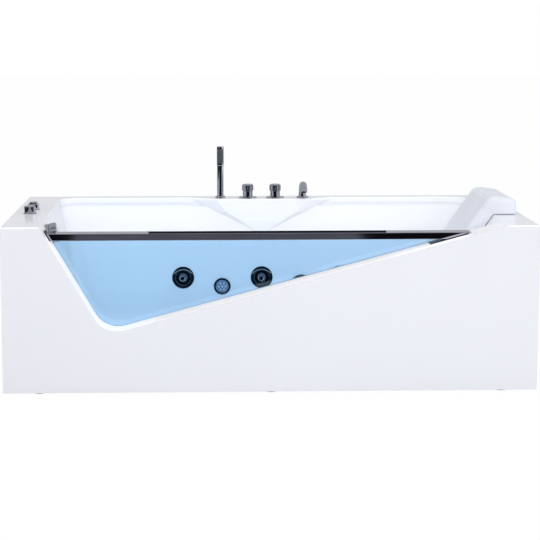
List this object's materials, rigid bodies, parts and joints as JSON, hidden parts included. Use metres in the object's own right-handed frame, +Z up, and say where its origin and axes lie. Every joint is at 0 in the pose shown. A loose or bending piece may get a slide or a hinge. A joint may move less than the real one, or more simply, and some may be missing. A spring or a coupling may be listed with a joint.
{
  "type": "jetted bathtub",
  "caption": "Freestanding rectangular jetted bath with a wedge-shaped front window, chrome cap rail, deck-mounted tap set, back-wall jets, pump underneath and a hook-over headrest.",
  "frame": {"origin": "on the floor under the middle of the tub's plan", "axes": "+X along the tub from the tap knob end to the backrest, -Y out of the window front, +Z up"},
  "size_m": [1.8, 0.9, 0.764],
  "materials": {
    "acrylic_white": "polished white acrylic",
    "glass_clear": "clear, blue tint",
    "clear_seal": "translucent silicone",
    "polished_chrome": "polished chrome",
    "rail_steel": "smoked polished steel",
    "galvanised_steel": "galvanised",
    "base_plywood": "sealed plywood",
    "foot_rubber": "matt black rubber",
    "zinc_fastener": "zinc plated",
    "brass_body": "as cast brass",
    "grey_pvc": "grey PVC",
    "white_pvc": "white PVC",
    "jet_plastic": "dark chromed plastic",
    "nozzle_plastic": "satin grey plastic",
    "motor_paint": "semi-gloss paint",
    "pump_plastic": "glass-filled black plastic",
    "rotor_steel": "turned steel",
    "light_lens": "ribbed clear lens",
    "housing_plastic": "white plastic",
    "spray_rubber": "grey silicone",
    "headrest_skin": "soft matt white skin on foam"
  },
  "bodies": {
    "tub": {"basin_shell": "acrylic_white", "front_apron": "acrylic_white", "left_apron": "acrylic_white", "right_apron": "acrylic_white", "window_glass": "glass_clear", "glass_seal": "clear_seal", "cap_rail": "rail_steel", "rail_end_plates": "rail_steel", "rail_screws": "rail_steel", "frame_rail_front": "galvanised_steel", "frame_rail_rear": "galvanised_steel", "frame_cross_left": "galvanised_steel", "frame_cross_middle": "galvanised_steel", "frame_cross_right": "galvanised_steel", "frame_posts": "galvanised_steel", "base_board": "base_plywood", "levelling_feet": "foot_rubber", "foot_lock_nuts": "zinc_fastener", "waste_body": "polished_chrome", "waste_trap": "white_pvc", "overflow_body": "polished_chrome", "overflow_pipe": "white_pvc", "jet_body_1": "jet_plastic", "jet_body_2": "jet_plastic", "jet_body_3": "jet_plastic", "jet_rings": "polished_chrome", "light_ring": "polished_chrome", "light_lens": "light_lens", "light_body": "jet_plastic", "suction_body": "jet_plastic", "suction_grille": "jet_plastic", "fitting_lock_nuts": "grey_pvc", "pump_housing": "pump_plastic", "pump_motor": "motor_paint", "pump_bracket": "galvanised_steel", "pump_bolts": "zinc_fastener", "water_manifold": "grey_pvc", "suction_pipe": "grey_pvc", "air_manifold": "white_pvc", "control_box": "housing_plastic", "air_valve": "polished_chrome", "button_body": "polished_chrome", "valve_bodies": "brass_body", "deck_base_plates": "polished_chrome", "hand_shower_holder": "polished_chrome", "spout": "polished_chrome"},
    "headrest": {"headrest": "headrest_skin"},
    "hand_shower": {"hand_shower": "polished_chrome", "spray_face": "spray_rubber"},
    "diverter_knob": {"diverter_knob": "polished_chrome"},
    "mixer_knob": {"mixer_knob": "polished_chrome"},
    "air_knob": {"air_knob": "polished_chrome"},
    "push_button": {"push_button": "polished_chrome"},
    "overflow_knob": {"overflow_knob": "polished_chrome"},
    "popup_plug": {"popup_plug": "polished_chrome"},
    "jet_nozzle_1": {"jet_nozzle_1": "nozzle_plastic"},
    "jet_nozzle_2": {"jet_nozzle_2": "nozzle_plastic"},
    "jet_nozzle_3": {"jet_nozzle_3": "nozzle_plastic"},
    "pump_rotor": {"pump_rotor": "rotor_steel"}
  },
  "joints": [
    {"name": "headrest_lift", "type": "slide", "parent": "tub", "child": "headrest", "axis": [0, 0, 1], "range_m": [0, 0.15]},
    {"name": "hand_shower_lift", "type": "slide", "parent": "tub", "child": "hand_shower", "axis": [0, 0, 1], "range_m": [0, 0.25]},
    {"name": "diverter_turn", "type": "hinge", "parent": "tub", "child": "diverter_knob", "pos_m": [-0.053, 0.39, 0.565], "axis": [0, 0, 1], "range_deg": [0, 90]},
    {"name": "mixer_turn", "type": "hinge", "parent": "tub", "child": "mixer_knob", "pos_m": [0.053, 0.39, 0.565], "axis": [0, 0, 1], "range_deg": [0, 100]},
    {"name": "air_turn", "type": "hinge", "parent": "tub", "child": "air_knob", "pos_m": [-0.841, -0.078, 0.565], "axis": [0, 0, 1], "range_deg": [0, 180]},
    {"name": "button_press", "type": "slide", "parent": "tub", "child": "push_button", "axis": [0, 0, -1], "range_m": [0, 0.005], "stiffness_N_per_m": 800, "springref_m": -0.004},
    {"name": "overflow_turn", "type": "hinge", "parent": "tub", "child": "overflow_knob", "pos_m": [-0.76301, -0.275, 0.518], "axis": [0.9781, 0, 0.2079], "range_deg": [0, 90]},
    {"name": "plug_lift", "type": "slide", "parent": "tub", "child": "popup_plug", "axis": [0, 0, 1], "range_m": [0, 0.012]},
    {"name": "jet_1_turn", "type": "hinge", "parent": "tub", "child": "jet_nozzle_1", "pos_m": [-0.304, 0.36124, 0.258], "axis": [0, -0.9949, 0.1004], "continuous": true},
    {"name": "jet_2_turn", "type": "hinge", "parent": "tub", "child": "jet_nozzle_2", "pos_m": [0, 0.36124, 0.258], "axis": [0, -0.9949, 0.1004], "continuous": true},
    {"name": "jet_3_turn", "type": "hinge", "parent": "tub", "child": "jet_nozzle_3", "pos_m": [0.304, 0.36124, 0.258], "axis": [0, -0.9949, 0.1004], "continuous": true},
    {"name": "pump_spin", "type": "hinge", "parent": "tub", "child": "pump_rotor", "pos_m": [0.745, 0.1, 0.18], "axis": [0, 1, 0], "continuous": true}
  ],
  "couplings": [
    {"joint": "plug_lift", "follows": "overflow_turn", "m_per_rad": 0.00763}
  ]
}
